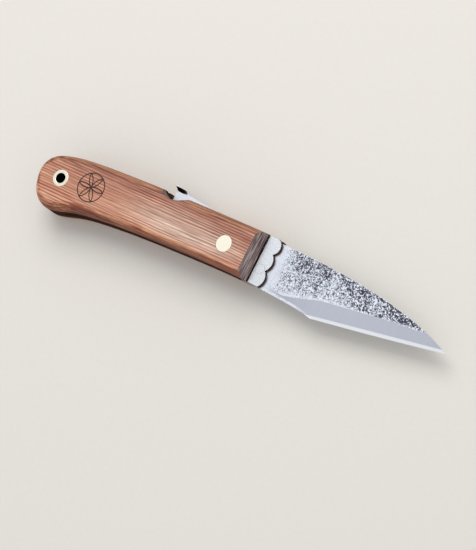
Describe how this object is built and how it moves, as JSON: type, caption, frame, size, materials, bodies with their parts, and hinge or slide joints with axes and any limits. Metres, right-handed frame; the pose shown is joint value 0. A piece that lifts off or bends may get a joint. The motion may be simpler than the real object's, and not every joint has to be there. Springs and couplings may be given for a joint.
{
  "type": "whittling knife",
  "caption": "Folding whittling knife: ground steel blade on a pivot, wooden grip over steel liners, and a rocking spine lock with a thumb lever.",
  "frame": {"origin": "middle of the lanyard tube's bore, on the plane through the middle of the blade", "axes": "+X to the open blade's tip, +Y to the spine, +Z out of the right side; the knife lies on its left side"},
  "size_m": [0.2011, 0.0319, 0.0184],
  "materials": {
    "blade_steel": "dark pitted flats over satin ground bevels",
    "lock_steel": "satin",
    "liner_steel": "polished",
    "spring_steel": "tempered",
    "black_fibre": "pressed fibre",
    "grip_wood": "oiled striped hardwood",
    "brass": "polished flush"
  },
  "bodies": {
    "handle": {"right_liner": "liner_steel", "left_liner": "liner_steel", "right_fibre_sheet": "black_fibre", "left_fibre_sheet": "black_fibre", "right_scale": "grip_wood", "left_scale": "grip_wood", "right_brass_stud": "brass", "left_brass_stud": "brass", "back_spacer": "lock_steel", "lock_spring": "spring_steel", "pivot_pin": "liner_steel", "lock_bar_pin": "liner_steel", "spring_pin": "liner_steel", "spacer_pins": "liner_steel", "lanyard_tube": "brass"},
    "blade": {"blade": "blade_steel"},
    "lock_lever": {"lock_bar": "lock_steel"}
  },
  "joints": [
    {"name": "blade_fold", "type": "hinge", "parent": "handle", "child": "blade", "pos_m": [0.0975, 0.00425, 0], "axis": [0, 0, -1], "range_deg": [0, 178]},
    {"name": "lock_rock", "type": "hinge", "parent": "handle", "child": "lock_lever", "pos_m": [0.067, 0.01485, 0], "axis": [0, 0, 1], "range_deg": [-2.9, 1.3], "stiffness_Nm_per_rad": 0.05, "springref_deg": -20.05}
  ]
}
